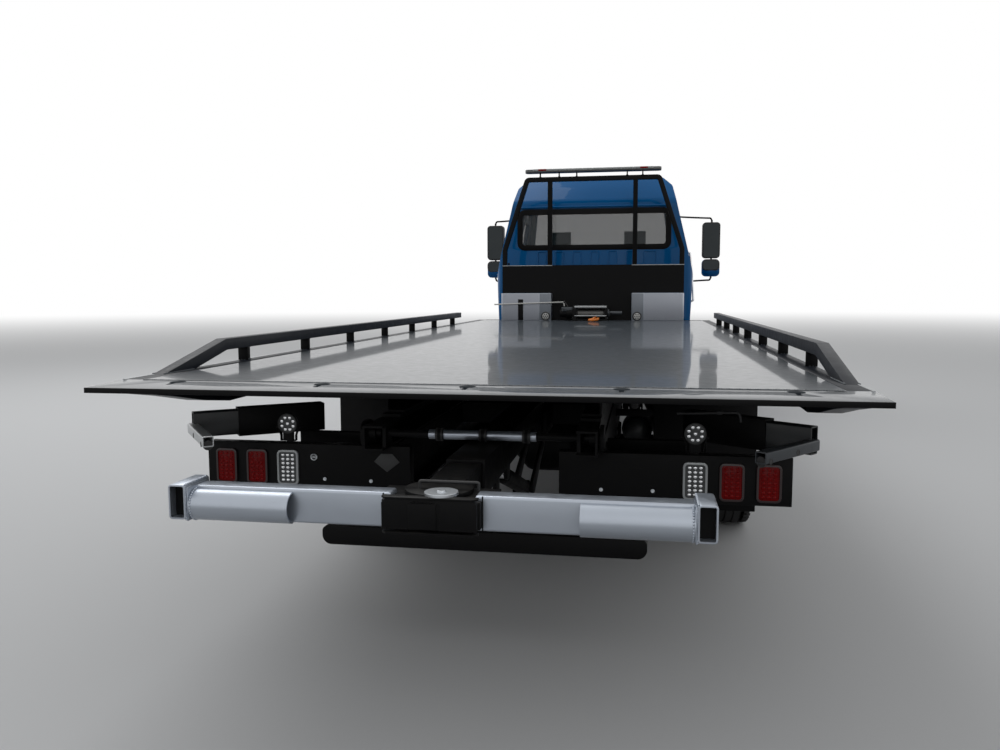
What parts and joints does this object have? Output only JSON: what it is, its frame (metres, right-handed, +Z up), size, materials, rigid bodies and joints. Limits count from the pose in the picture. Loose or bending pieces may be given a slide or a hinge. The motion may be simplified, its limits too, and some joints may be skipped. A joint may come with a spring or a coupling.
{
  "type": "flatbed tow truck",
  "caption": "Rollback carrier truck with a tilting, sliding steel deck, side rails, headboard and rear wheel lift.",
  "frame": {"origin": "on the ground, under the middle of the whole truck", "axes": "+Y forward to the bumper, +X to the driver's right, +Z up"},
  "size_m": [3.12, 10.564, 2.7799],
  "materials": {
    "frame_paint": "satin black",
    "deck_paint": "gloss grey",
    "rail_paint": "gloss charcoal",
    "silver_paint": "metallic silver",
    "cab_paint": "gloss blue",
    "black_plastic": "matt black",
    "light_bar_plastic": "clear over grey",
    "tyre": "matt",
    "rim_steel": "grey",
    "glass": "clear",
    "red_lens": "gloss red",
    "clear_lens": "clear",
    "trim_plastic": "grained",
    "seat_cloth": "woven",
    "cast_metal": "cast",
    "tank_metal": "brushed",
    "rod_chrome": "polished"
  },
  "bodies": {
    "chassis": {"chassis_frame": "frame_paint", "frame_brackets": "frame_paint", "front_axle": "frame_paint", "rear_axle": "frame_paint", "leaf_springs": "frame_paint", "drivetrain": "cast_metal", "front_bumper": "silver_paint", "fuel_tanks": "tank_metal", "toolboxes": "tank_metal", "cab_shell": "cab_paint", "cab_glass": "glass", "dashboard": "trim_plastic", "seats": "seat_cloth", "lamp_panels": "frame_paint", "red_lamps": "red_lens", "clear_lamps": "clear_lens", "stowed_arms": "silver_paint", "arm_holders": "frame_paint"},
    "hood": {"hood": "cab_paint", "grille": "silver_paint", "headlamps": "clear_lens"},
    "tilt_frame": {"tilt_frame": "frame_paint"},
    "tilt_barrels": {"tilt_barrels": "frame_paint"},
    "tilt_rods": {"tilt_rods": "rod_chrome"},
    "deck": {"tail_plate": "deck_paint", "deck_plate": "deck_paint", "side_channels": "rail_paint", "deck_sills": "frame_paint", "deck_crossmembers": "frame_paint", "side_rails": "rail_paint", "rail_stakes": "frame_paint", "headboard_frame": "frame_paint", "headboard_panel": "frame_paint", "headboard_boxes": "silver_paint", "light_bar": "light_bar_plastic", "winch_base": "frame_paint", "winch_hook": "cast_metal"},
    "winch_drum": {"winch_drum": "cast_metal"},
    "lift_boom": {"lift_boom": "frame_paint"},
    "lift_slide": {"lift_slide": "frame_paint"},
    "crossbar": {"crossbar": "silver_paint"},
    "lift_barrel": {"lift_barrel": "frame_paint"},
    "lift_rod": {"lift_rod": "rod_chrome"},
    "door_left": {"door_left": "cab_paint", "door_glass_left": "glass", "mirror_left": "black_plastic"},
    "knuckle_left": {"knuckle_left": "frame_paint"},
    "front_wheel_left": {"front_tyre_left": "tyre", "front_rim_left": "rim_steel"},
    "rear_wheels_left": {"rear_tyres_left": "tyre", "rear_rims_left": "rim_steel"},
    "door_right": {"door_right": "cab_paint", "door_glass_right": "glass", "mirror_right": "black_plastic"},
    "knuckle_right": {"knuckle_right": "frame_paint"},
    "front_wheel_right": {"front_tyre_right": "tyre", "front_rim_right": "rim_steel"},
    "rear_wheels_right": {"rear_tyres_right": "tyre", "rear_rims_right": "rim_steel"}
  },
  "joints": [
    {"name": "hood_hinge", "type": "hinge", "parent": "chassis", "child": "hood", "pos_m": [0, 5.157, 0.73], "axis": [-1, 0, 0], "range_deg": [0, 50]},
    {"name": "door_left_hinge", "type": "hinge", "parent": "chassis", "child": "door_left", "pos_m": [-1.137, 3.931, 1.15], "axis": [0, 0, -1], "range_deg": [0, 65]},
    {"name": "door_right_hinge", "type": "hinge", "parent": "chassis", "child": "door_right", "pos_m": [1.137, 3.931, 1.15], "axis": [0, 0, 1], "range_deg": [0, 65]},
    {"name": "steer_left", "type": "hinge", "parent": "chassis", "child": "knuckle_left", "pos_m": [-0.8, 4.266, 0.465], "axis": [0, 0, 1], "range_deg": [-35, 35]},
    {"name": "steer_right", "type": "hinge", "parent": "chassis", "child": "knuckle_right", "pos_m": [0.8, 4.266, 0.465], "axis": [0, 0, 1], "range_deg": [-35, 35]},
    {"name": "bed_tilt", "type": "hinge", "parent": "chassis", "child": "tilt_frame", "pos_m": [0, -4.508, 0.897], "axis": [1, 0, 0], "range_deg": [0, 16]},
    {"name": "bed_slide", "type": "slide", "parent": "tilt_frame", "child": "deck", "axis": [0, -1, 0], "range_m": [0, 3.3]},
    {"name": "winch_spin", "type": "hinge", "parent": "deck", "child": "winch_drum", "pos_m": [0, 1.772, 1.182], "axis": [1, 0, 0], "continuous": true},
    {"name": "tilt_barrel_swing", "type": "hinge", "parent": "chassis", "child": "tilt_barrels", "pos_m": [0, -1.018, 0.56], "axis": [1, 0, 0], "range_deg": [-30.64, 0]},
    {"name": "tilt_rod_slide", "type": "slide", "parent": "tilt_barrels", "child": "tilt_rods", "axis": [0, -0.9645, 0.264], "range_m": [0, 0.4654]},
    {"name": "lift_tilt", "type": "hinge", "parent": "chassis", "child": "lift_boom", "pos_m": [0, -3.168, 0.72], "axis": [1, 0, 0], "range_deg": [0, 10.5]},
    {"name": "lift_extend", "type": "slide", "parent": "lift_boom", "child": "lift_slide", "axis": [0, -1, 0], "range_m": [0, 1.1]},
    {"name": "crossbar_swivel", "type": "hinge", "parent": "lift_slide", "child": "crossbar", "pos_m": [0, -5.146, 0.801], "axis": [0, 0, 1], "range_deg": [-40, 40]},
    {"name": "lift_barrel_swing", "type": "hinge", "parent": "chassis", "child": "lift_barrel", "pos_m": [0, -3.418, 0.45], "axis": [1, 0, 0], "range_deg": [0, 14.48]},
    {"name": "lift_rod_slide", "type": "slide", "parent": "lift_barrel", "child": "lift_rod", "axis": [0, -0.9524, 0.3048], "range_m": [-0.0631, 0]},
    {"name": "front_wheel_left_spin", "type": "hinge", "parent": "knuckle_left", "child": "front_wheel_left", "pos_m": [-0.97, 4.266, 0.465], "axis": [1, 0, 0], "continuous": true},
    {"name": "rear_wheels_left_spin", "type": "hinge", "parent": "chassis", "child": "rear_wheels_left", "pos_m": [-0.9375, -2.194, 0.465], "axis": [1, 0, 0], "continuous": true},
    {"name": "front_wheel_right_spin", "type": "hinge", "parent": "knuckle_right", "child": "front_wheel_right", "pos_m": [0.97, 4.266, 0.465], "axis": [1, 0, 0], "continuous": true},
    {"name": "rear_wheels_right_spin", "type": "hinge", "parent": "chassis", "child": "rear_wheels_right", "pos_m": [0.9375, -2.194, 0.465], "axis": [1, 0, 0], "continuous": true}
  ],
  "couplings": [
    {"joint": "steer_right", "follows": "steer_left", "ratio": 1},
    {"joint": "tilt_barrel_swing", "follows": "bed_tilt", "ratio": -1.7406},
    {"joint": "tilt_rod_slide", "follows": "bed_tilt", "m_per_rad": 1.5152},
    {"joint": "lift_barrel_swing", "follows": "lift_tilt", "ratio": 1.254},
    {"joint": "lift_rod_slide", "follows": "lift_tilt", "m_per_rad": -0.31293}
  ]
}
